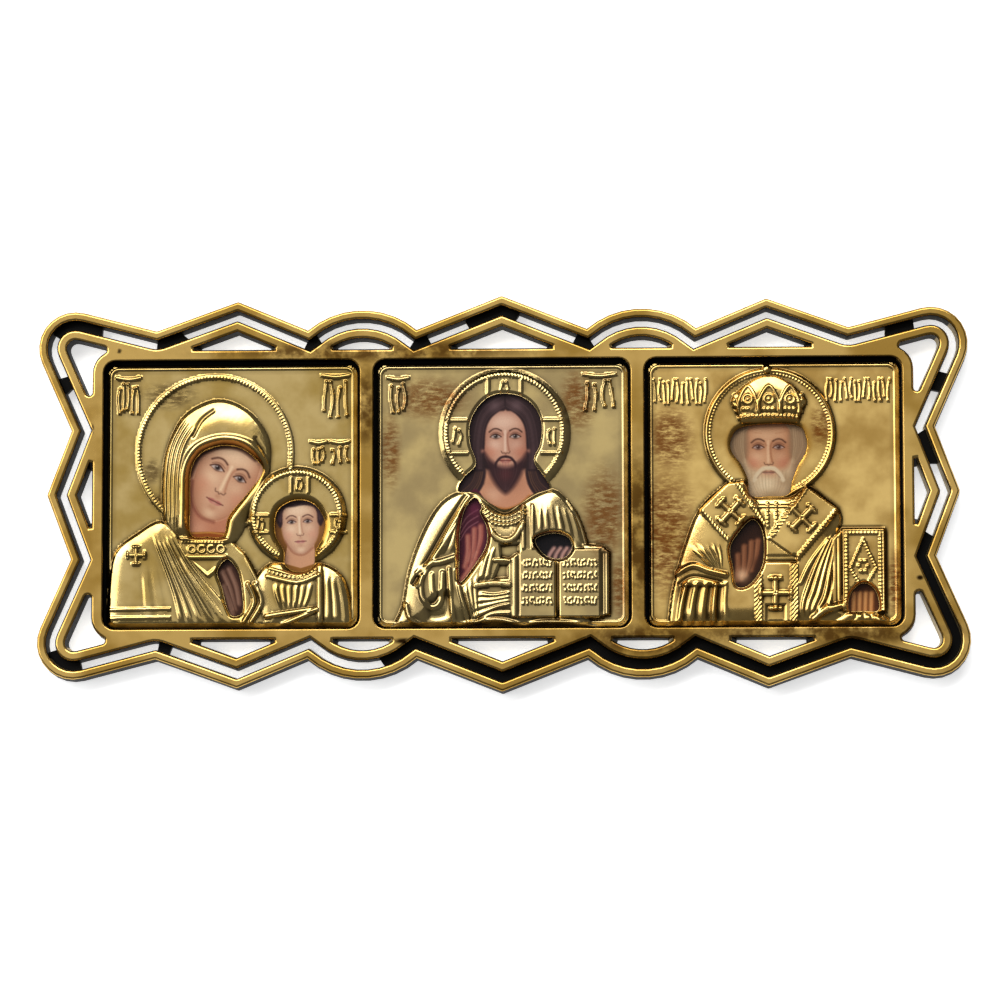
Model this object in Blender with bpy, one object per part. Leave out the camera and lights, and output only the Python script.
"""Triptych icon plaque.

An openwork plastic frame holds three embossed gilt covers side by side, each over a printed card.
The plaque lies on its flat back: +X runs along its length, +Y to the top of the pictures, +Z out of
the front. The origin is on the back plane, under the middle. Sizes are in millimetres and the meshes
are written in metres.
"""
import math

import bmesh
import bpy
import numpy as np
from mathutils import Vector
from mathutils.geometry import delaunay_2d_cdt

for leftover in list(bpy.data.objects):
    bpy.data.objects.remove(leftover)

MM = 0.001

# Icons and the pockets that hold them
ICON_WIDTH = 35.1
ICON_HEIGHT = 36.9
ICON_CORNER = 1.5
ICON_CLEARANCE = 0.42
ICON_DROP = 0.12
BAR_WIDTH = 1.85
STILE_WIDTH = 1.5
RAIL_WIDTH = 1.4

# Levels of the stack, from the back plane up
FLOOR_THICKNESS = 0.7
FIT_GAP = 0.3
CARD_THICKNESS = 0.3
COVER_THICKNESS = 0.4
RELIEF_HEIGHT = 1.3
FACE_MARGIN = 0.1

# Frame bands, measured square to the outline
OUTER_BAND = 1.2
GROOVE_WIDTH = 1.35
INNER_BAND = 1.35
WALL_FLARE = 0.18

# Frame outline, measured from the rails and stiles around the pockets
CENTRE_PEAK_RISE = 7.4
SIDE_PEAK_RISE = 6.8
SIDE_PEAK_OUT = 36.9
VALLEY_RISE = 2.7
CREST_RISE = 5.5
CREST_OUTSET = 0.6
CREST_HALF_SPAN = 7.6
VALLEY_FROM_SIDE_PEAK = 11.4
CORNER_RADIUS = 5.1
CORNER_OUT_X = 2.5
CORNER_OUT_Y = 0.4
END_VALLEY_HEIGHT = 9.0
END_VALLEY_OUT = 2.9
END_PEAK_OUT = 6.3

# Small roundings of the frame
PEAK_ROUND = 0.5
INNER_VALLEY_ROUND = 3.0
HOLE_TIP_ROUND = 0.2
CORNER_HOLE_ROUND = 0.5

# Webs that join the two bands across the groove
WEB_BOTTOM = 0.3
WEB_TOP = 1.7
WEB_HOLD = 0.45
WEB_STEP = 1.5
# Where each web starts and ends along the groove, counter-clockwise, as shares of the half size
WEB_RUNS = (
    ((-0.262, -0.850), (0.940, -0.235)),
    ((0.932, 0.127), (0.902, 0.279)),
    ((0.955, 0.524), (0.970, 0.615)),
    ((0.909, 0.868), (0.840, 0.832)),
    ((0.194, 0.759), (0.163, 0.770)),
    ((0.031, 0.886), (-0.077, 0.868)),
    ((-0.163, 0.770), (-0.193, 0.759)),
    ((-0.398, 0.759), (-0.435, 0.770)),
    ((-0.690, 0.759), (-0.763, 0.770)),
    ((-0.885, 0.860), (-0.968, 0.796)),
    ((-0.948, 0.633), (-0.940, 0.543)),
    ((-0.963, -0.759), (-0.932, -0.850)),
    ((-0.755, -0.777), (-0.717, -0.770)),
)

# Size of the field that the three reliefs are drawn on, in the drawing's own units
DRAWING_WIDTH = 35.1
DRAWING_HEIGHT = 36.9

# Mesh fineness
ARC_STEPS = 9
FILLET_STEPS = 3
RELIEF_COLUMNS = 110
RELIEF_ROWS = 116
COVER_TRIANGLES = 1500
EDGE_MARGIN = 0.6
POINT_SPACING = 0.3

# Derived places
WINDOW_WIDTH = ICON_WIDTH + 2 * ICON_CLEARANCE
WINDOW_HEIGHT = ICON_HEIGHT + 2 * ICON_CLEARANCE
WINDOW_CORNER = ICON_CORNER + ICON_CLEARANCE / 2
ICON_PITCH = WINDOW_WIDTH + BAR_WIDTH
BAR_CENTRE = ICON_PITCH / 2
RAIL_X = ICON_PITCH + WINDOW_WIDTH / 2 + STILE_WIDTH
RAIL_Y = WINDOW_HEIGHT / 2 + RAIL_WIDTH
RAIL_CORNER = WINDOW_CORNER + RAIL_WIDTH
CARD_BOTTOM = FLOOR_THICKNESS + FIT_GAP
CARD_TOP = CARD_BOTTOM + CARD_THICKNESS
COVER_BACK = CARD_TOP + FIT_GAP
COVER_GROUND = COVER_BACK + COVER_THICKNESS
FRAME_DEPTH = COVER_GROUND + RELIEF_HEIGHT + FACE_MARGIN
BANDS = OUTER_BAND + GROOVE_WIDTH + INNER_BAND
HALF_LENGTH = RAIL_X + END_PEAK_OUT
HALF_HEIGHT = RAIL_Y + CENTRE_PEAK_RISE


# Plane geometry

def arc(centre, radius, start, end, steps=ARC_STEPS):
    """Points along an arc, angles in degrees."""
    points = []
    for i in range(steps + 1):
        angle = math.radians(start + (end - start) * i / steps)
        points.append((centre[0] + radius * math.cos(angle), centre[1] + radius * math.sin(angle)))
    return points


def rounded_rectangle(width, height, radius, centre=(0.0, 0.0), steps=5):
    """Counter-clockwise loop of a rectangle with round corners."""
    loop = []
    for quarter, (sx, sy) in enumerate(((1, 1), (-1, 1), (-1, -1), (1, -1))):
        middle = (centre[0] + sx * (width / 2 - radius), centre[1] + sy * (height / 2 - radius))
        loop += arc(middle, radius, 90 * quarter, 90 * quarter + 90, steps)
    return loop


def inset_loop(loop, inset):
    """The loop moved inwards by the same distance everywhere, with mitred corners."""
    moved = []
    for i, (x, y) in enumerate(loop):
        ax, ay = loop[i - 1]
        bx, by = loop[(i + 1) % len(loop)]
        first = np.array([x - ax, y - ay]) / math.hypot(x - ax, y - ay)
        second = np.array([bx - x, by - y]) / math.hypot(bx - x, by - y)
        normal = np.array([-first[1] - second[1], first[0] + second[0]])
        normal /= np.linalg.norm(normal)
        reach = inset / max(0.2, normal @ np.array([-first[1], first[0]]))
        moved.append((x + normal[0] * reach, y + normal[1] * reach))
    return moved


def fillet_loop(loop, rounds, steps=FILLET_STEPS):
    """The loop with each listed corner replaced by an arc: rounds gives a radius by index."""
    result = []
    for i, (x, y) in enumerate(loop):
        radius = rounds.get(i, 0.0)
        if radius <= 0:
            result.append((x, y))
            continue
        before = np.array(loop[i - 1]) - (x, y)
        after = np.array(loop[(i + 1) % len(loop)]) - (x, y)
        before /= np.linalg.norm(before)
        after /= np.linalg.norm(after)
        half = math.acos(float(np.clip(before @ after, -1, 1))) / 2
        reach = radius / math.tan(half)
        bisector = (before + after) / np.linalg.norm(before + after)
        middle = np.array((x, y)) + bisector * radius / math.sin(half)
        start = np.array((x, y)) + before * reach - middle
        end = np.array((x, y)) + after * reach - middle
        for k in range(steps + 1):
            blend = start + (end - start) * k / steps
            point = middle + blend * radius / np.linalg.norm(blend)
            result.append((float(point[0]), float(point[1])))
    return result


def crossing(a, b, level, axis):
    """Where the line through two points reaches a level."""
    t = (level - a[axis]) / (b[axis] - a[axis])
    return (a[0] + (b[0] - a[0]) * t, a[1] + (b[1] - a[1]) * t)


# Frame outline

def tangent_angle(point, centre, radius, side):
    """Angle, in degrees, where the tangent from a point touches a circle."""
    dx, dy = point[0] - centre[0], point[1] - centre[1]
    opening = math.degrees(math.acos(radius / math.hypot(dx, dy)))
    return math.degrees(math.atan2(dy, dx)) + side * opening


def crest_circle():
    """Centre and radius of the crest over the bar on the right."""
    sag = CREST_RISE - VALLEY_RISE
    radius = (CREST_HALF_SPAN ** 2 + sag ** 2) / (2 * sag)
    return (BAR_CENTRE + CREST_OUTSET, RAIL_Y + CREST_RISE - radius), radius


def outline_quarter():
    """Key points of the outline from the right end peak up and back to the top centre peak."""
    corner = (RAIL_X + CORNER_OUT_X, RAIL_Y + CORNER_OUT_Y)
    end_valley = (RAIL_X + END_VALLEY_OUT, END_VALLEY_HEIGHT)
    valley = (SIDE_PEAK_OUT + VALLEY_FROM_SIDE_PEAK, RAIL_Y + VALLEY_RISE)
    crest_centre, crest_radius = crest_circle()
    half = math.degrees(math.asin(CREST_HALF_SPAN / crest_radius))
    start = tangent_angle(end_valley, corner, CORNER_RADIUS, 1)
    end = tangent_angle(valley, corner, CORNER_RADIUS, -1)
    points = [(RAIL_X + END_PEAK_OUT, 0.0), end_valley]
    points += arc(corner, CORNER_RADIUS, start, end)
    points += [valley, (SIDE_PEAK_OUT, RAIL_Y + SIDE_PEAK_RISE)]
    points += arc(crest_centre, crest_radius, 90 - half, 90 + half)
    points += [(0.0, RAIL_Y + CENTRE_PEAK_RISE)]
    return points


def full_outline():
    """The whole outline, counter-clockwise from the right end peak, mirrored from one quarter."""
    quarter = outline_quarter()
    top = quarter + [(-x, y) for x, y in reversed(quarter[:-1])]
    return top + [(x, -y) for x, y in reversed(top[1:-1])]


# Places of the named corners in the quarter and in the whole outline
QUARTER_COUNT = len(outline_quarter())
VALLEY_INDEX = 2 + ARC_STEPS + 1
SIDE_PEAK_INDEX = VALLEY_INDEX + 1
TOP_INDEX = QUARTER_COUNT - 1
HALF_TURN = 2 * TOP_INDEX
FULL_TURN = 4 * TOP_INDEX


def mirrored_indices(index):
    """The same corner in all four quarters."""
    return {index, HALF_TURN - index, HALF_TURN + index, (FULL_TURN - index) % FULL_TURN}


def band_loop(inset, valley_round=0.0):
    """A loop that follows the outline at an inset, its peaks slightly rounded."""
    rounds = {}
    for index in (0, SIDE_PEAK_INDEX, TOP_INDEX):
        for i in mirrored_indices(index):
            rounds[i] = PEAK_ROUND
    for i in mirrored_indices(VALLEY_INDEX):
        rounds[i] = valley_round + PEAK_ROUND
    return fillet_loop(inset_loop(full_outline(), inset), rounds)


def reflect(loop, sx, sy):
    """The loop mirrored, kept counter-clockwise."""
    points = [(x * sx, y * sy) for x, y in loop]
    return points if sx * sy > 0 else points[::-1]


def round_tips(hole):
    """The opening with its first and last corner rounded."""
    return fillet_loop(hole, {0: HOLE_TIP_ROUND, len(hole) - 1: HOLE_TIP_ROUND})


def peak_hole(peak, shrink, level, axis):
    """Three-cornered opening between a peak of the inner band and a rail."""
    loop = inset_loop(full_outline(), BANDS + shrink)
    before, top, after = (loop[(peak + step) % FULL_TURN] for step in (-1, 0, 1))
    start = crossing(before, top, level + shrink, axis)
    end = crossing(top, after, level + shrink, axis)
    return round_tips([start, top, end])


def crest_hole(shrink):
    """Opening between the crest's inner band and the rail, bounded by an arc."""
    centre, radius = crest_circle()
    radius -= BANDS + shrink
    half = math.degrees(math.acos((RAIL_Y + shrink - centre[1]) / radius))
    return round_tips(arc(centre, radius, 90 - half, 90 + half))


def corner_hole(shrink):
    """Rounded three-sided opening in the top right corner, around the corner of the rail."""
    loop = inset_loop(full_outline(), BANDS + shrink)
    middle = (RAIL_X - RAIL_CORNER, RAIL_Y - RAIL_CORNER)
    tip = CORNER_HOLE_ROUND
    # The tip beside the top rail touches the band and the rail's round corner.
    top_a, top_b = np.array(loop[VALLEY_INDEX]), np.array(loop[VALLEY_INDEX - 1])
    along = (top_b - top_a) / np.linalg.norm(top_b - top_a)
    inward = np.array((along[1], -along[0]))
    start = top_a + inward * (tip - shrink) - middle
    reach = RAIL_CORNER + tip
    b = start @ along
    t = -b + math.sqrt(b * b - start @ start + reach * reach)
    top_tip = start + along * t + middle
    # The tip beside the stile touches the band and the stile.
    side_a, side_b = np.array(loop[1]), np.array(loop[2])
    rise = (side_b - side_a) / np.linalg.norm(side_b - side_a)
    left = np.array((-rise[1], rise[0]))
    offset = side_a + left * (tip - shrink)
    x_tip = RAIL_X + tip
    side_tip = offset + rise * (x_tip - offset[0]) / rise[0]
    heading = math.degrees(math.atan2(top_tip[1] - middle[1], top_tip[0] - middle[0]))
    hole = arc(side_tip, tip - shrink, 180, 360 + math.degrees(math.atan2(-left[1], -left[0])), 5)
    hole += [loop[i] for i in range(2, VALLEY_INDEX)]
    hole += arc(top_tip, tip - shrink, math.degrees(math.atan2(-inward[1], -inward[0])), 180 + heading, 5)
    hole += arc(middle, RAIL_CORNER + shrink, heading, 0, 5)[1:]
    return hole


def frame_holes(shrink):
    """All openings of the inner frame, each counter-clockwise."""
    right = peak_hole(0, shrink, RAIL_X, 0)
    centre = peak_hole(TOP_INDEX, shrink, RAIL_Y, 1)
    holes = [right, reflect(right, -1, 1), centre, reflect(centre, 1, -1)]
    quarter = [peak_hole(SIDE_PEAK_INDEX, shrink, RAIL_Y, 1), crest_hole(shrink), corner_hole(shrink)]
    for hole in quarter:
        holes += [reflect(hole, sx, sy) for sx in (1, -1) for sy in (1, -1)]
    return holes


# Relief drawing: heights in millimetres above the cover's ground, places from the icon's middle

def smooth(points, closed=False, steps=5):
    """A smooth curve through a few points."""
    count = len(points)
    curve = []
    spans = count if closed else count - 1
    for i in range(spans):
        if closed:
            p = [points[(i + k) % count] for k in (-1, 0, 1, 2)]
        else:
            p = [points[min(max(i + k, 0), count - 1)] for k in (-1, 0, 1, 2)]
        for k in range(steps):
            t = k / steps
            curve.append(tuple(
                0.5 * (2 * p[1][a] + (p[2][a] - p[0][a]) * t
                       + (2 * p[0][a] - 5 * p[1][a] + 4 * p[2][a] - p[3][a]) * t * t
                       + (3 * p[1][a] - p[0][a] - 3 * p[2][a] + p[3][a]) * t ** 3)
                for a in (0, 1)))
    if not closed:
        curve.append(points[-1])
    return curve


def distance_to(path, u, v):
    """Distance of each point of a field to an open path."""
    best = np.full(u.shape, 1e9)
    for (ax, ay), (bx, by) in zip(path[:-1], path[1:]):
        dx, dy = bx - ax, by - ay
        t = np.clip(((u - ax) * dx + (v - ay) * dy) / (dx * dx + dy * dy + 1e-12), 0, 1)
        best = np.minimum(best, np.hypot(u - ax - t * dx, v - ay - t * dy))
    return best


def inside_loop(loop, u, v):
    """Whether each point of a field lies inside a closed loop."""
    inside = np.zeros(u.shape, bool)
    for (ax, ay), (bx, by) in zip(loop, loop[1:] + loop[:1]):
        if ay != by:
            crosses = (ay > v) != (by > v)
            inside ^= crosses & (u < ax + (v - ay) * (bx - ax) / (by - ay))
    return inside


class Sheet:
    """A sheet of heights over a field of points, shaped by embossing tools."""

    def __init__(self, u, v):
        self.u = u
        self.v = v
        self.z = np.zeros_like(u)

    def distance(self, path):
        """Distance to an open path."""
        return distance_to(path, self.u, self.v)

    def depth(self, loop):
        """Distance inside a closed loop, negative outside."""
        away = distance_to(list(loop) + [loop[0]], self.u, self.v)
        return np.where(inside_loop(loop, self.u, self.v), away, -away)

    def swell(self, loop, base, crown, soft):
        """Raise a region: a step of base, then a round crown over a soft width."""
        depth = self.depth(loop)
        rise = np.sin(np.clip(depth / soft, 0, 1) * math.pi / 2)
        step = np.clip(depth / 0.25, 0, 1)
        self.z = np.maximum(self.z, np.where(depth > 0, base * step + crown * rise, 0))
        return depth > 0

    def plate(self, loop, height, edge=0.3):
        """Lay a flat-topped piece at a height, over what is below it."""
        depth = self.depth(loop)
        blend = np.clip(depth / edge, 0, 1)
        self.z = np.where(depth > 0, self.z + (height - self.z) * blend, self.z)
        return depth > 0

    def fold(self, path, width, amount, within=None):
        """A soft ridge, or a furrow where the amount is negative."""
        t = np.clip(self.distance(path) / width, 0, 1)
        ridge = amount * np.cos(t * math.pi / 2) ** 2
        if within is not None:
            ridge = np.where(within, ridge, 0)
        self.z = self.z + ridge

    def cord(self, path, width, height, within=None):
        """A round cord laid on what is below."""
        t = np.clip(self.distance(path) / width, 0, 1)
        cord = height * np.sqrt(1 - t * t)
        if within is not None:
            cord = np.where(within, cord, 0)
        self.z = self.z + cord

    def roll_down(self, loop, width, lip):
        """Roll the edge of an opening down towards the card behind."""
        outside = np.clip(-self.depth(loop) / width, 0, 1)
        self.z = lip + (self.z - lip) * np.sin(outside * math.pi / 2)


def circle(centre, radius, start=0, end=360, steps=48):
    """A circle or part of one as a path."""
    return arc(centre, radius, start, end, steps)


def strokes(sheet, left, right, top, bottom, count, height, seed, bar=False):
    """A place of writing: short slanting marks that spell nothing, under a bar in the old manner."""
    width = (right - left) / count
    if bar:
        sheet.cord(smooth([(left, top), ((left + right) / 2, top - 0.25), (right, top)]), 0.3, height)
        top -= 0.9
    for i in range(count):
        swing = math.sin(seed + 2.4 * i)
        lift = 0.18 * (top - bottom) * math.sin(seed * 2 + 1.7 * i)
        x = left + width * (i + 0.5)
        path = [(x + 0.22 * width * swing, top - max(lift, 0)),
                (x - 0.12 * width * swing, (top + bottom) / 2),
                (x + 0.28 * width * math.cos(seed + i), bottom - min(lift, 0))]
        sheet.cord(smooth(path), 0.26, height)


def cross(sheet, centre, reach, turn, width, height, within=None):
    """A cross with small bars at the ends of its arms."""
    for k in range(4):
        angle = math.radians(turn + 90 * k)
        dx, dy = math.cos(angle), math.sin(angle)
        tip = (centre[0] + dx * reach, centre[1] + dy * reach)
        sheet.cord([(centre[0] + dx * width, centre[1] + dy * width), tip], width, height, within)
        bar = reach * 0.35
        sheet.cord([(tip[0] - dy * bar, tip[1] + dx * bar), (tip[0] + dy * bar, tip[1] - dx * bar)],
                   width * 0.8, height, within)


def fan(sheet, first, last, count, width, amount, within):
    """Folds that sweep side by side from one path to another."""
    for i in range(count):
        t = i / (count - 1)
        path = [(a[0] + (b[0] - a[0]) * t, a[1] + (b[1] - a[1]) * t) for a, b in zip(first, last)]
        sheet.fold(smooth(path), width, amount, within)


# Icon on the left: Mother and Child

MOTHER_HALO = ((-2.4, 6.0), 10.9)
CHILD_HALO = ((9.45, -2.8), 6.7)
MOTHER_OPENING = smooth([
    (-5.75, 3.6), (-4.5, 5.9), (-2.6, 6.85), (-0.7, 7.1), (1.3, 6.7), (3.1, 5.4), (4.3, 3.4),
    (2.3, 0.5), (0.5, -1.6), (-0.6, -3.2), (-1.2, -5.6), (-3.4, -5.7), (-5.7, -5.35), (-5.85, -1.0)],
    closed=True, steps=3)
CHILD_OPENING = smooth([
    (9.5, -0.6), (11.6, -1.3), (13.0, -3.6), (12.6, -6.0), (11.7, -7.8), (11.4, -9.9), (9.3, -10.7),
    (7.5, -9.7), (7.3, -7.7), (6.1, -5.4), (6.2, -2.6), (7.4, -1.2)], closed=True, steps=3)
MOTHER_HAND_OPENING = smooth([
    (-0.6, -8.9), (0.9, -10.6), (1.5, -13.6), (1.5, -16.3), (0.1, -16.8), (-0.7, -15.4),
    (-1.3, -13.0), (-2.0, -10.6)], closed=True, steps=3)
VEIL = smooth([
    (-9.7, -3.4), (-9.9, 1.5), (-9.4, 6.0), (-7.2, 11.0), (-3.6, 13.35), (-0.5, 13.5), (2.8, 11.7),
    (5.0, 8.6), (5.5, 5.6), (4.9, 2.6), (3.0, -1.5), (1.0, -6.0), (-2.5, -8.4), (-7.0, -7.0)],
    closed=True, steps=4)
MANTLE = smooth([(-17.3, -13.5), (-16.5, -8.0), (-13.2, -5.1), (-9.9, -3.4), (-7.4, -5.4)], steps=4) + \
    smooth([(-6.4, -8.2), (-3.2, -11.5), (-0.4, -14.2), (2.6, -16.6), (5.6, -19.5)], steps=4) + \
    [(-18.0, -19.5), (-17.5, -16.5)]
TUNIC = [(-8.0, -5.6), (-0.3, -6.0), (1.8, -8.0), (4.4, -12.5), (5.0, -19.0), (-4.0, -19.0), (-8.5, -9.0)]
CHILD_ROBE = smooth([(3.2, -13.4), (3.5, -11.2), (5.2, -9.5), (7.4, -9.3)], steps=4) + \
    smooth([(11.5, -9.4), (13.6, -9.8), (15.7, -11.5), (16.7, -14.8), (17.0, -19.0)], steps=4) + \
    [(4.6, -19.0)]


def mother_and_child(sheet):
    """Mother in a veil with the Child at her side."""
    centre, radius = MOTHER_HALO
    sheet.swell(circle(centre, radius), 0.05, 0.02, 0.5)
    sheet.cord(circle(centre, radius), 0.3, 0.3)
    tunic = sheet.swell(TUNIC, 0.3, 0.25, 2.5)
    veil = sheet.swell(VEIL, 0.35, 0.75, 4.0)
    mantle = sheet.swell(MANTLE, 0.35, 0.55, 3.0)
    # Folds of the veil beside the face
    fan(sheet, [(-5.0, 11.2), (-8.6, 6.6), (-9.2, 1.0), (-9.1, -4.2)],
        [(-3.1, 9.2), (-5.9, 6.2), (-6.7, 2.0), (-6.7, -5.2)], 4, 0.45, 0.2, veil)
    # Folds that sweep over the mantle
    fan(sheet, [(-11.6, -5.9), (-9.2, -9.4), (-7.6, -14.0), (-6.6, -19.0)],
        [(-8.2, -4.6), (-5.6, -8.8), (-1.8, -13.6), (3.6, -18.8)], 6, 0.5, 0.22, mantle)
    fan(sheet, [(-12.6, -8.6), (-11.9, -13.0), (-11.6, -19.0)],
        [(-10.6, -8.0), (-9.4, -13.0), (-8.6, -19.0)], 3, 0.4, 0.14, mantle)
    # Hem and ornament on the shoulder
    hem = mantle & (sheet.u < -8.4)
    for level in (-16.2, -17.3):
        sheet.cord([(-18.0, level), (-8.4, level + 0.1)], 0.28, 0.16, hem)
    cross(sheet, (-13.4, -8.4), 1.5, 0, 0.28, 0.2, mantle)
    # Collar with its band
    collar = tunic & ~mantle
    sheet.cord([(-7.6, -6.1), (-0.4, -6.35)], 0.28, 0.25, collar)
    sheet.cord([(-6.2, -8.7), (-0.6, -8.7)], 0.3, 0.25, collar)
    for k in range(4):
        sheet.cord(circle((-5.6 + 1.4 * k, -7.45), 0.5, steps=12), 0.18, 0.16, collar)
    sheet.fold([(-6.0, -9.2), (-3.3, -11.2), (-0.7, -9.2)], 0.5, 0.15, collar)
    # Rolled edge of the veil over the forehead
    rim = smooth([(-6.5, 2.6), (-5.6, 5.6), (-3.2, 7.5), (-0.6, 7.95), (2.2, 7.2), (4.2, 5.4), (5.0, 3.2)])
    sheet.fold(rim, 0.9, 0.3, veil)
    # The Child's halo, raised over the mother's side
    centre, radius = CHILD_HALO
    sheet.plate(circle(centre, radius), 0.35, 0.3)
    sheet.cord(circle(centre, radius - 0.15), 0.3, 0.35)
    for angle in (0, 90, 180):
        x = centre[0] + 5.0 * math.cos(math.radians(angle))
        y = centre[1] + 0.6 + 4.6 * math.sin(math.radians(angle))
        frame = rounded_rectangle(2.3, 3.0, 0.2, (x, y), 1)
        sheet.plate(frame, 0.55, 0.2)
        strokes(sheet, x - 0.75, x + 0.75, y + 0.8, y - 0.8, 2, 0.14, angle + 1.0)
    # The Child's robe
    robe = sheet.swell(CHILD_ROBE, 0.4, 0.4, 2.2)
    fan(sheet, [(6.0, -12.3), (6.3, -14.0), (7.2, -16.0)], [(11.2, -12.3), (10.8, -14.0), (10.0, -15.8)],
        6, 0.32, 0.22, robe)
    fan(sheet, [(13.6, -10.6), (13.7, -14.0), (13.6, -19.0)], [(15.4, -12.2), (16.0, -15.0), (16.4, -19.0)],
        3, 0.38, 0.25, robe)
    for lift in (0.0, 0.75):
        sheet.cord(smooth([(5.3, -10.4 - lift), (9.2, -11.5 - lift), (12.0, -10.3 - lift)]), 0.25, 0.22, robe)
    sheet.cord([(4.9, -16.7), (11.7, -16.0)], 0.38, 0.3, robe)
    sheet.cord([(11.7, -16.0), (6.0, -18.4)], 0.35, 0.3, robe)
    sheet.cord([(12.35, -9.8), (12.4, -19.0)], 0.42, 0.32, robe)
    # Cuffs beside the mother's hand
    for reach in (0.0, 0.9):
        sheet.fold(smooth([(2.4 + reach, -12.6), (3.2 + reach, -15.0), (2.0 + reach, -17.4)]), 0.45, 0.3)
    # Places of writing
    strokes(sheet, -16.4, -12.9, 16.6, 11.6, 4, 0.22, 1.0, bar=True)
    strokes(sheet, 11.6, 16.0, 16.8, 11.0, 4, 0.22, 2.3, bar=True)
    strokes(sheet, 10.5, 12.9, 7.6, 4.2, 2, 0.2, 0.4, bar=True)
    strokes(sheet, 13.7, 16.1, 7.6, 4.2, 2, 0.2, 4.1, bar=True)
    for loop in (MOTHER_OPENING, CHILD_OPENING):
        sheet.roll_down(loop, 0.95, 0.1)
    sheet.roll_down(MOTHER_HAND_OPENING, 0.5, 0.15)


# Icon in the middle: blessing figure with an open book

LORD_HALO = ((0.4, 8.8), 9.0)
LORD_OPENING = smooth([
    (0.4, 14.2), (2.8, 13.7), (4.6, 12.2), (5.5, 9.9), (5.3, 7.1), (4.4, 4.8), (5.6, 2.8), (6.6, 0.9),
    (4.4, 0.1), (2.3, -1.4), (0.3, -2.1), (-1.7, -1.2), (-3.6, 0.3), (-6.1, 0.5), (-5.4, 2.4),
    (-3.7, 4.3), (-4.5, 7.2), (-4.5, 10.0), (-3.4, 12.3), (-1.7, 13.8)], closed=True, steps=3)
BLESSING_OPENING = smooth([
    (-3.9, -0.4), (-2.9, -1.6), (-3.1, -2.6), (-2.2, -4.6), (-2.3, -7.2), (-4.0, -10.0), (-5.9, -12.2),
    (-6.0, -9.0), (-5.9, -5.0), (-5.2, -2.0)], closed=True, steps=3)
HOLDING_OPENING = smooth([
    (4.6, -6.5), (5.8, -5.7), (7.6, -5.5), (9.2, -6.1), (9.7, -7.4), (8.9, -8.7), (7.4, -9.0),
    (5.7, -8.3)], closed=True, steps=3)
LORD_GARMENT = smooth([(-15.8, -19.0), (-14.2, -15.6), (-13.3, -11.0), (-11.9, -6.8), (-10.0, -2.9),
                       (-8.0, -0.5), (-5.2, 0.9)], steps=4) + \
    smooth([(-2.8, -0.6), (0.3, -2.6), (3.0, -0.8), (7.0, 0.8), (9.6, -1.5), (11.0, -4.0),
            (12.0, -7.2)], steps=4) + [(12.5, -9.0), (12.5, -19.0)]
LEFT_PAGE = [(1.0, -17.3), (7.65, -17.3), (7.65, -9.0), (7.0, -8.3), (5.2, -7.5), (2.9, -7.5), (1.0, -9.0)]
RIGHT_PAGE = [(7.7, -17.3), (13.5, -17.3), (13.5, -7.7), (9.9, -7.7), (8.6, -8.6), (7.7, -9.4)]
PAGE_BLOCK = [(13.0, -17.5), (15.0, -16.9), (15.0, -8.1), (13.9, -7.2), (11.2, -7.0), (11.2, -17.5)]


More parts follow.
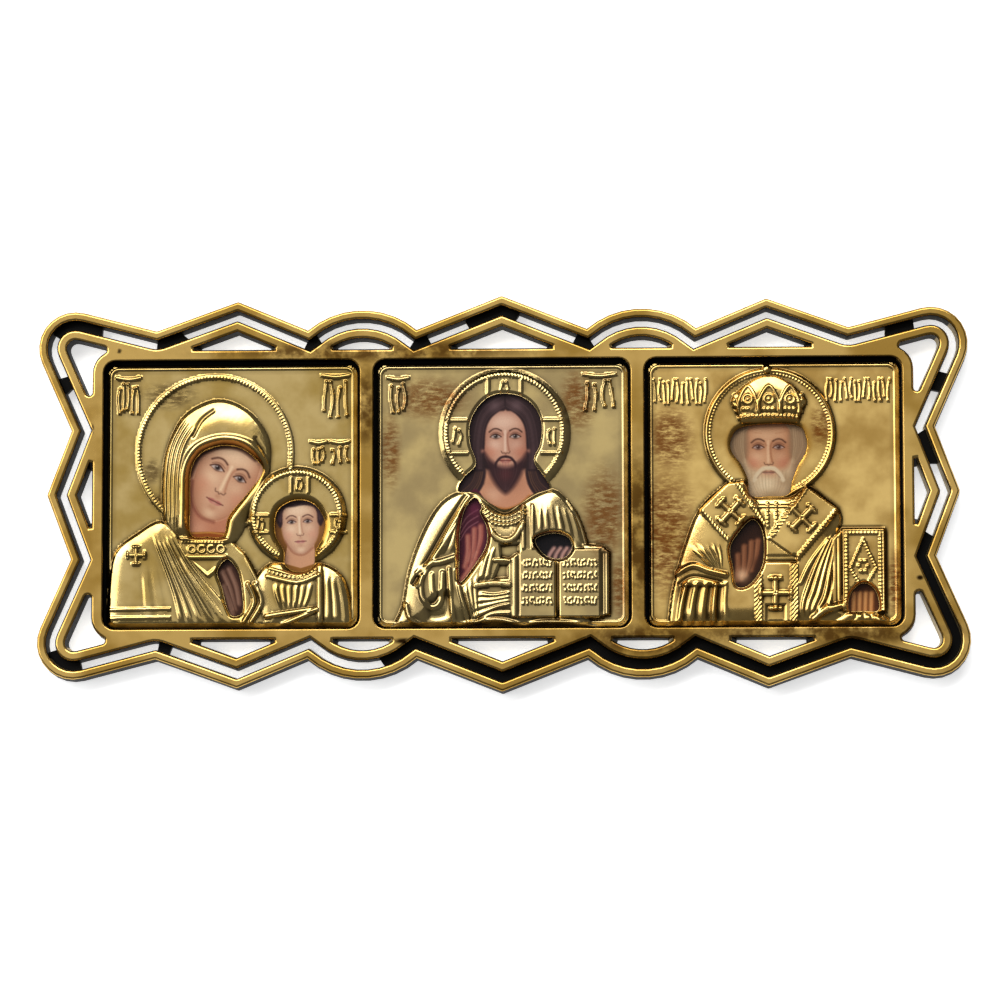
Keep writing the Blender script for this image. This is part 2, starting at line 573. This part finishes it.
def blessing_figure(sheet):
    """Figure with long hair, one hand raised in blessing, the other on an open book."""
    centre, radius = LORD_HALO
    sheet.swell(circle(centre, radius), 0.12, 0.02, 0.5)
    sheet.cord(circle(centre, radius - 0.1), 0.38, 0.38)
    for angle, width, height in ((0, 2.9, 4.6), (90, 5.0, 2.6), (180, 2.9, 4.6)):
        x = centre[0] + 6.3 * math.cos(math.radians(angle))
        y = centre[1] - 0.6 + 7.3 * math.sin(math.radians(angle))
        sheet.plate(rounded_rectangle(width, height, 0.2, (x, y), 1), 0.3, 0.2)
        strokes(sheet, x - 0.9, x + 0.9, y + 1.0, y - 1.2, 2, 0.16, angle + 0.6)
    robe = sheet.swell(LORD_GARMENT, 0.4, 0.55, 3.2)
    # Shoulder folds on both sides
    fan(sheet, [(-8.6, -1.4), (-10.0, -5.0), (-12.6, -11.0)], [(-5.9, 0.1), (-7.6, -4.2), (-10.6, -9.2)],
        3, 0.55, 0.25, robe)
    fan(sheet, [(4.6, -0.4), (4.8, -3.0), (4.9, -5.8)], [(9.0, -1.2), (10.2, -3.6), (10.9, -6.6)],
        6, 0.4, 0.2, robe)
    for x in (2.9, 4.0):
        sheet.cord([(x, -1.6), (x + 0.1, -7.6)], 0.25, 0.2, robe)
    # Sleeve of the raised arm, its roll and the folds that hang below it
    sleeve = smooth([(-11.4, -11.4), (-9.8, -9.9), (-8.0, -9.5), (-6.9, -8.6)])
    sheet.fold(sleeve, 0.75, 0.4, robe)
    fan(sheet, [(-11.2, -11.6), (-11.3, -14.5), (-10.4, -16.6)], [(-6.9, -9.6), (-6.2, -13.4), (-5.6, -18.0)],
        5, 0.42, 0.3, robe)
    sheet.fold(smooth([(-13.4, -15.2), (-12.7, -17.2), (-11.0, -18.2)]), 0.5, 0.3, robe)
    fan(sheet, [(-5.0, -12.4), (-4.4, -15.0), (-3.8, -18.6)], [(-3.0, -10.8), (-2.4, -14.0), (-2.2, -18.0)],
        3, 0.45, 0.28, robe)
    # Folds across the waist, beside the book
    fan(sheet, [(-2.4, -11.9), (-0.6, -12.3), (1.0, -12.2)], [(-1.6, -17.8), (0.6, -16.9), (2.4, -16.6)],
        5, 0.4, 0.28, robe & (sheet.u < 1.0))
    sheet.fold(smooth([(-6.0, -18.2), (-1.0, -17.4), (3.0, -18.3)]), 0.5, 0.35, robe)
    sheet.fold(smooth([(1.8, -18.3), (7.6, -17.8), (13.2, -18.3)]), 0.45, 0.4)
    # Neck: a collar of two bead rows and a rolled edge below
    collar = smooth([(-3.0, -0.9), (-1.7, -2.4), (0.3, -3.2), (2.2, -2.5), (3.3, -1.0)])
    sheet.fold(collar, 0.8, 0.25, robe)
    sheet.cord(smooth([(-2.2, -4.4), (-0.9, -6.1), (0.5, -6.6), (1.8, -5.9), (3.0, -4.0)]), 0.35, 0.3, robe)
    fan(sheet, [(-1.4, -7.0), (-1.8, -9.2), (-2.4, -11.2)], [(2.2, -6.6), (2.0, -9.0), (1.2, -11.4)],
        4, 0.4, 0.22, robe)
    # Open book
    sheet.plate(PAGE_BLOCK, 0.75, 0.25)
    sheet.fold([(14.2, -8.0), (14.2, -17.0)], 0.4, -0.15)
    for page in (LEFT_PAGE, RIGHT_PAGE):
        sheet.plate(page, 1.05, 0.25)
    sheet.fold([(7.65, -8.6), (7.65, -17.3)], 0.5, -0.3)
    sheet.fold([(2.2, -8.6), (2.2, -17.0)], 0.2, -0.12)
    for row in range(3):
        top = -9.6 - 2.35 * row
        strokes(sheet, 2.7, 7.0, top, top - 1.2, 7, 0.12, 0.7 + row)
        strokes(sheet, 8.6, 13.0, top, top - 1.2, 7, 0.12, 3.1 + row)
    strokes(sheet, -16.0, -13.1, 16.5, 11.6, 3, 0.24, 0.2, bar=True)
    strokes(sheet, 11.4, 15.8, 16.8, 11.8, 4, 0.24, 3.4, bar=True)
    sheet.roll_down(LORD_OPENING, 0.5, 0.1)
    sheet.roll_down(BLESSING_OPENING, 0.7, 0.15)
    sheet.roll_down(HOLDING_OPENING, 0.5, 0.15)


# Icon on the right: bishop with a mitre and a closed book

BISHOP_HALO = ((-0.6, 8.35), 9.25)
BISHOP_OPENING = smooth([
    (-4.6, 9.2), (-5.9, 7.6), (-5.8, 5.8), (-4.5, 4.0), (-3.6, 2.0), (-3.2, -0.3), (-0.6, -0.45),
    (2.0, -0.2), (2.6, 1.8), (3.4, 3.8), (4.5, 5.8), (4.6, 7.6), (3.5, 9.4), (-0.5, 9.7)],
    closed=True, steps=3)
BISHOP_HAND_OPENING = smooth([
    (-3.0, -3.7), (-1.8, -4.9), (-1.4, -7.5), (-1.8, -10.4), (-3.4, -12.7), (-5.2, -13.0),
    (-5.7, -10.5), (-6.1, -7.6), (-4.7, -5.2)], closed=True, steps=3)
BOOK_HAND_OPENING = smooth([
    (10.3, -16.3), (10.6, -14.0), (12.3, -12.6), (14.0, -13.7), (14.4, -16.3), (12.3, -16.5)],
    closed=True, steps=3)
MITRE = smooth([(-5.0, 9.6), (-5.7, 11.2), (-6.1, 12.9), (-5.4, 14.4), (-3.6, 15.9), (-1.4, 16.7),
                (0.6, 16.6), (2.9, 15.4), (4.3, 13.8), (4.5, 12.2), (3.9, 9.9)], steps=3) + [(-0.5, 9.1)]
BISHOP_ROBE = smooth([(-15.0, -19.0), (-14.5, -14.5), (-13.6, -10.6), (-12.2, -6.2), (-10.7, -2.6),
                      (-8.0, 0.3), (-4.2, 1.9)], steps=4) + \
    smooth([(-3.0, -0.6), (2.0, -0.6), (4.6, 1.1), (7.4, -0.8), (9.2, -2.5), (9.4, -4.4), (9.0, -6.0),
            (9.0, -14.0), (15.2, -16.8), (16.4, -19.0)], steps=4)
LEFT_BAND = [(-10.5, -2.3), (-6.6, 1.5), (-4.0, 1.8), (-0.9, -4.6), (-3.0, -6.0), (-6.2, -7.4)]
RIGHT_BAND = [(4.5, 1.1), (9.2, -2.4), (3.2, -9.6), (-1.2, -6.4), (0.4, -5.2)]
STOLE = [(-2.9, -8.6), (3.2, -8.6), (3.2, -19.0), (-2.9, -19.0)]
BOOK_SIDE = [(8.0, -15.2), (9.4, -16.7), (9.4, -5.0), (8.0, -6.5)]
BOOK_COVER = [(9.3, -16.7), (15.4, -16.7), (15.4, -5.0), (9.3, -5.0)]


def bishop(sheet):
    """Old bishop with a domed mitre, one hand raised, the other under a closed book."""
    centre, radius = BISHOP_HALO
    sheet.swell(circle(centre, radius), 0.05, 0.02, 0.5)
    sheet.cord(circle(centre, radius - 0.1), 0.36, 0.34)
    mitre = sheet.swell(MITRE, 0.45, 0.5, 2.6)
    # Pointed arches with medallions on the mitre
    for x, y, width in ((-3.7, 10.9, 1.15), (-0.6, 11.0, 1.25), (2.5, 11.1, 1.15)):
        arch = [(x - width, y), (x - width, y + 2.2), (x, y + 3.9), (x + width, y + 2.2), (x + width, y)]
        sheet.cord(arch, 0.24, 0.2, mitre)
        sheet.cord(circle((x, y + 1.7), 0.5, steps=12), 0.2, 0.2, mitre)
        sheet.fold([(x - 0.6, y + 0.5), (x + 0.6, y + 0.5)], 0.3, 0.15, mitre)
    band = smooth([(-5.0, 9.9), (-2.8, 10.25), (-0.5, 10.35), (1.8, 10.3), (3.9, 10.1)])
    sheet.cord(band, 0.4, 0.2, mitre)
    sheet.swell(circle((-0.85, 17.3), 0.75, steps=16), 0.3, 0.4, 0.7)
    robe = sheet.swell(BISHOP_ROBE, 0.35, 0.5, 3.0)
    # Folds that radiate from the cuff of the raised arm
    fan(sheet, [(-12.6, -7.2), (-10.6, -9.0), (-8.4, -11.0)], [(-8.0, -5.8), (-7.4, -8.4), (-7.0, -11.0)],
        5, 0.4, 0.24, robe)
    cuff = smooth([(-13.8, -11.6), (-11.6, -10.2), (-9.0, -11.2), (-6.6, -11.4)])
    sheet.fold(cuff, 0.75, 0.4, robe)
    fan(sheet, [(-13.4, -12.4), (-14.0, -15.4), (-14.2, -18.8)], [(-7.4, -12.4), (-7.6, -15.4), (-7.8, -18.8)],
        5, 0.5, 0.34, robe)
    # Folds between the stole and the book
    fan(sheet, [(4.3, -9.4), (4.0, -13.0), (3.9, -17.6)], [(8.3, -6.0), (8.2, -11.0), (8.0, -16.0)],
        5, 0.45, 0.28, robe)
    # Bands over the shoulders, each with crosses and rope borders
    bands = sheet.plate(LEFT_BAND, 0.95, 0.35)
    cross(sheet, (-6.0, -2.6), 1.9, -42, 0.32, 0.22, bands)
    sheet.cord([(-5.4, 1.5), (-1.3, -4.6)], 0.28, 0.2, bands)
    sheet.cord([(-10.2, -2.5), (-5.9, -7.1)], 0.28, 0.2, bands)
    bands = sheet.plate(RIGHT_BAND, 1.05, 0.35)
    cross(sheet, (3.9, -3.6), 1.9, 45, 0.32, 0.22, bands)
    sheet.cord([(4.6, 0.9), (0.0, -5.4)], 0.4, 0.25, bands)
    sheet.cord([(8.8, -2.6), (3.0, -9.2)], 0.34, 0.22, bands)
    # Bands at the neck
    for level in (-0.9, -1.9):
        sheet.cord([(-3.2, level), (2.2, level)], 0.24, 0.18, robe & ~bands)
    # Stole with braided borders and a cross
    stole = sheet.plate(STOLE, 0.8, 0.3)
    for x in (-2.35, 2.65):
        sheet.cord([(x, -9.8), (x, -19.0)], 0.42, 0.2, stole)
    sheet.fold([(-2.9, -9.6), (3.2, -9.6)], 0.25, -0.2, stole)
    cross(sheet, (0.15, -14.2), 2.2, 0, 0.34, 0.24, stole)
    # Closed book with a frame and a diamond on its cover
    sheet.plate(BOOK_SIDE, 0.75, 0.2)
    sheet.plate(BOOK_COVER, 1.0, 0.25)
    inner = rounded_rectangle(5.0, 10.6, 0.1, (12.35, -10.9), 1)
    sheet.cord(inner + [inner[0]], 0.22, 0.16)
    diamond = [(12.2, -6.4), (14.2, -10.6), (12.2, -14.0), (10.4, -10.6), (12.2, -6.4)]
    sheet.cord(diamond, 0.24, 0.2)
    sheet.cord(circle((12.3, -9.6), 0.6, steps=12), 0.2, 0.16)
    # Sleeve under the book
    sleeve = smooth([(5.4, -17.4), (7.2, -16.2), (10.0, -15.6)])
    sheet.fold(sleeve, 0.8, 0.5)
    fan(sheet, [(7.0, -18.6), (8.6, -17.4), (10.2, -16.4)], [(16.4, -18.6), (15.6, -17.6), (14.6, -16.8)],
        4, 0.35, 0.25, robe)
    strokes(sheet, -17.0, -8.9, 16.1, 12.4, 9, 0.22, 5.0)
    strokes(sheet, 7.5, 16.8, 16.0, 12.6, 10, 0.22, 1.6)
    sheet.roll_down(BISHOP_OPENING, 0.8, 0.1)
    sheet.roll_down(BISHOP_HAND_OPENING, 0.5, 0.15)
    sheet.roll_down(BOOK_HAND_OPENING, 0.4, 0.15)


def cover_heights(draw, u, v):
    """Height of the embossed sheet over its ground, flat along the sheet's edge."""
    sheet = Sheet(u * DRAWING_WIDTH / ICON_WIDTH, v * DRAWING_HEIGHT / ICON_HEIGHT)
    draw(sheet)
    outline = rounded_rectangle(ICON_WIDTH, ICON_HEIGHT, ICON_CORNER)
    edge = np.where(inside_loop(outline, u, v), distance_to(outline + outline[:1], u, v), 0)
    return np.clip(sheet.z, 0, RELIEF_HEIGHT) * np.clip(edge / EDGE_MARGIN, 0, 1)


def fit_drawing(loop):
    """A loop of the drawing in its place on the icon."""
    return [(x * ICON_WIDTH / DRAWING_WIDTH, y * ICON_HEIGHT / DRAWING_HEIGHT) for x, y in loop]


# Solids

def triangulate(loops, points=()):
    """Triangles inside the first loop and outside the others, as places in loops then points."""
    flat = [p for loop in loops for p in loop] + list(points)
    edges = []
    start = 0
    for loop in loops:
        edges += [(start + i, start + (i + 1) % len(loop)) for i in range(len(loop))]
        start += len(loop)
    result = delaunay_2d_cdt([Vector(p) for p in flat], edges, [], 0, 1e-5)
    origin = [ids[0] for ids in result[3]]
    triangles = [[origin[i] for i in face] for face in result[2]]
    borders = {frozenset(edge) for edge in edges}
    beside = {}
    for index, triangle in enumerate(triangles):
        for i in range(3):
            beside.setdefault(frozenset((triangle[i - 1], triangle[i])), []).append(index)
    # Each area that the loops bound is kept or dropped as one, judged by its largest triangle.
    corners = np.array(flat)[np.array(triangles)]
    sides = corners[:, 1:] - corners[:, :1]
    areas = np.abs(sides[:, 0, 0] * sides[:, 1, 1] - sides[:, 0, 1] * sides[:, 1, 0])
    middles = corners.mean(axis=1)
    solid = inside_loop(loops[0], middles[:, 0], middles[:, 1])
    for loop in loops[1:]:
        solid &= ~inside_loop(loop, middles[:, 0], middles[:, 1])
    kept = []
    seen = set()
    for first in range(len(triangles)):
        if first in seen:
            continue
        seen.add(first)
        group = [first]
        for index in group:
            triangle = triangles[index]
            for i in range(3):
                edge = frozenset((triangle[i - 1], triangle[i]))
                if edge in borders:
                    continue
                for other in beside[edge]:
                    if other not in seen:
                        seen.add(other)
                        group.append(other)
        if solid[max(group, key=lambda index: areas[index])]:
            kept += [triangles[index] for index in group]
    return kept


def ring(bm, loop, height):
    """A loop of vertices at one height."""
    return [bm.verts.new((x * MM, y * MM, height * MM)) for x, y in loop]


def cap(bm, rings):
    """Flat faces inside the first ring and outside the others."""
    loops = [[(v.co.x / MM, v.co.y / MM) for v in r] for r in rings]
    vertices = [v for r in rings for v in r]
    for triangle in triangulate(loops):
        bm.faces.new([vertices[i] for i in triangle])


def wall(bm, low, high):
    """Faces between two rings."""
    for i in range(len(low)):
        bm.faces.new((low[i - 1], low[i], high[i], high[i - 1]))


def to_object(bm, name, material):
    """Close off a mesh as a named object with its material."""
    bmesh.ops.recalc_face_normals(bm, faces=bm.faces)
    mesh = bpy.data.meshes.new(name)
    bm.to_mesh(mesh)
    bm.free()
    obj = bpy.data.objects.new(name, mesh)
    bpy.context.scene.collection.objects.link(obj)
    if material is not None:
        mesh.materials.append(material)
    return obj


def add_prism(bm, loop, low, high):
    """A straight prism over a loop."""
    rings = [ring(bm, loop, height) for height in (low, high)]
    wall(bm, *rings)
    for r in rings:
        cap(bm, [r])


def plain_material(name, colour, roughness, metallic):
    """A plain surface colour."""
    material = bpy.data.materials.new(name)
    material.use_nodes = True
    shader = material.node_tree.nodes["Principled BSDF"]
    shader.inputs["Base Color"].default_value = (*colour, 1.0)
    shader.inputs["Roughness"].default_value = roughness
    shader.inputs["Metallic"].default_value = metallic
    return material


# Frame

def groove_run(loop, start, end):
    """The piece of a loop between the points on it nearest to two places, given as shares."""
    fine = []
    for (ax, ay), (bx, by) in zip(loop, loop[1:] + loop[:1]):
        pieces = max(1, math.ceil(math.hypot(bx - ax, by - ay) / WEB_STEP))
        fine += [(ax + (bx - ax) * k / pieces, ay + (by - ay) * k / pieces) for k in range(pieces)]
    places = [(x * HALF_LENGTH, y * HALF_HEIGHT) for x, y in (start, end)]
    near = [min(range(len(fine)), key=lambda i: math.dist(fine[i], place)) for place in places]
    count = (near[1] - near[0]) % len(fine)
    run = [fine[(near[0] + k) % len(fine)] for k in range(count + 1)]
    return [run[0], *(p for p in run[1:-1] if p in loop), run[-1]]


def build_frame(material):
    """Inner plate with its pockets and openings, outer band, and the webs that join them."""
    bm = bmesh.new()
    levels = ((0.0, WALL_FLARE), (FRAME_DEPTH, 0.0))
    groove = OUTER_BAND + GROOVE_WIDTH
    band = []
    plate = []
    for height, flare in levels:
        band.append([ring(bm, band_loop(-flare), height), ring(bm, band_loop(OUTER_BAND + flare), height)])
        loops = [band_loop(groove - flare, INNER_VALLEY_ROUND)] + frame_holes(flare)
        plate.append([ring(bm, loop, height) for loop in loops])
    for low, high in zip(band[0] + plate[0], band[1] + plate[1]):
        wall(bm, low, high)
    pockets = []
    for x in (-ICON_PITCH, 0.0, ICON_PITCH):
        loop = rounded_rectangle(WINDOW_WIDTH, WINDOW_HEIGHT, WINDOW_CORNER, (x, 0.0))
        pocket = ring(bm, loop, FRAME_DEPTH)
        floor = ring(bm, loop, FLOOR_THICKNESS)
        wall(bm, floor, pocket)
        cap(bm, [floor])
        pockets.append(pocket)
    for rings in (band[0], band[1], plate[0], plate[1] + pockets):
        cap(bm, rings)
    frame = to_object(bm, "frame", material)
    bm = bmesh.new()
    for start, end in WEB_RUNS:
        outer = groove_run(band_loop(OUTER_BAND - WEB_HOLD), start, end)
        inner = groove_run(band_loop(groove + WEB_HOLD, INNER_VALLEY_ROUND), start, end)
        add_prism(bm, outer + inner[::-1], WEB_BOTTOM, WEB_TOP)
    webs = to_object(bm, "web_tool", None)
    webs.hide_render = True
    webs.display_type = "WIRE"
    joint = frame.modifiers.new("webs", "BOOLEAN")
    joint.operation = "UNION"
    joint.solver = "EXACT"
    joint.object = webs


# Covers and prints

def relief_points(draw, loops):
    """Places where the relief needs a vertex: a fine sheet, thinned out where it is even."""
    width = ICON_WIDTH - 2 * POINT_SPACING
    height = ICON_HEIGHT - 2 * POINT_SPACING
    u, v = np.meshgrid(np.linspace(-width / 2, width / 2, RELIEF_COLUMNS),
                       np.linspace(-height / 2, height / 2, RELIEF_ROWS))
    z = cover_heights(draw, u, v)
    faces = []
    for row in range(RELIEF_ROWS - 1):
        for column in range(RELIEF_COLUMNS - 1):
            a = row * RELIEF_COLUMNS + column
            faces.append((a, a + 1, a + 1 + RELIEF_COLUMNS, a + RELIEF_COLUMNS))
    mesh = bpy.data.meshes.new("sheet")
    mesh.from_pydata(np.stack([u.ravel(), v.ravel(), z.ravel()], axis=1).tolist(), [], faces)
    sheet = bpy.data.objects.new("sheet", mesh)
    bpy.context.scene.collection.objects.link(sheet)
    thin = sheet.modifiers.new("thin", "DECIMATE")
    thin.ratio = COVER_TRIANGLES / (2 * len(faces))
    thinned = sheet.evaluated_get(bpy.context.evaluated_depsgraph_get()).to_mesh()
    places = np.array([tuple(vertex.co) for vertex in thinned.vertices])
    bpy.data.objects.remove(sheet)
    u, v = places[:, 0], places[:, 1]
    keep = inside_loop(loops[0], u, v)
    for loop in loops[1:]:
        keep &= ~inside_loop(loop, u, v)
    for loop in loops:
        keep &= distance_to(loop + loop[:1], u, v) > POINT_SPACING
    return places[keep][:, :2].tolist()


def build_cover(name, centre, draw, openings, material):
    """Embossed sheet over one print, open where the painted parts show."""
    outline = rounded_rectangle(ICON_WIDTH, ICON_HEIGHT, ICON_CORNER)
    loops = [outline] + [fit_drawing(loop) for loop in openings]
    points = relief_points(draw, loops)
    flat = np.array([p for loop in loops for p in loop] + points)
    heights = COVER_GROUND + cover_heights(draw, flat[:, 0], flat[:, 1])
    bm = bmesh.new()
    top = [bm.verts.new(((x + centre) * MM, (y - ICON_DROP) * MM, z * MM)) for (x, y), z in zip(flat, heights)]
    for triangle in triangulate(loops, points):
        bm.faces.new([top[i] for i in triangle]).smooth = True
    back = []
    start = 0
    for loop in loops:
        front = top[start:start + len(loop)]
        back.append(ring(bm, [(x + centre, y - ICON_DROP) for x, y in loop], COVER_BACK))
        wall(bm, back[-1], front)
        start += len(loop)
    cap(bm, back)
    to_object(bm, name, material)


def build_print(name, centre, material):
    """Printed card behind one cover."""
    bm = bmesh.new()
    loop = rounded_rectangle(ICON_WIDTH, ICON_HEIGHT, ICON_CORNER, (centre, -ICON_DROP))
    add_prism(bm, loop, CARD_BOTTOM, CARD_TOP)
    to_object(bm, name, material)


gilt_plastic = plain_material("gilt_faced_black_plastic", (0.34, 0.22, 0.07), 0.4, 0.6)
build_frame(gilt_plastic)
ICONS = (
    ("left", -ICON_PITCH, mother_and_child, (MOTHER_OPENING, CHILD_OPENING, MOTHER_HAND_OPENING),
     (0.48, 0.36, 0.14), (0.36, 0.20, 0.12)),
    ("centre", 0.0, blessing_figure, (LORD_OPENING, BLESSING_OPENING, HOLDING_OPENING),
     (0.50, 0.37, 0.15), (0.30, 0.17, 0.10)),
    ("right", ICON_PITCH, bishop, (BISHOP_OPENING, BISHOP_HAND_OPENING, BOOK_HAND_OPENING),
     (0.55, 0.40, 0.15), (0.38, 0.24, 0.16)),
)
for side, middle, draw, openings, gilt, tint in ICONS:
    foil = plain_material(f"gilt_foil_{side}", gilt, 0.3, 1.0)
    card = plain_material(f"printed_card_{side}", tint, 0.5, 0.0)
    build_cover(f"cover_{side}", middle, draw, openings, foil)
    build_print(f"print_{side}", middle, card)
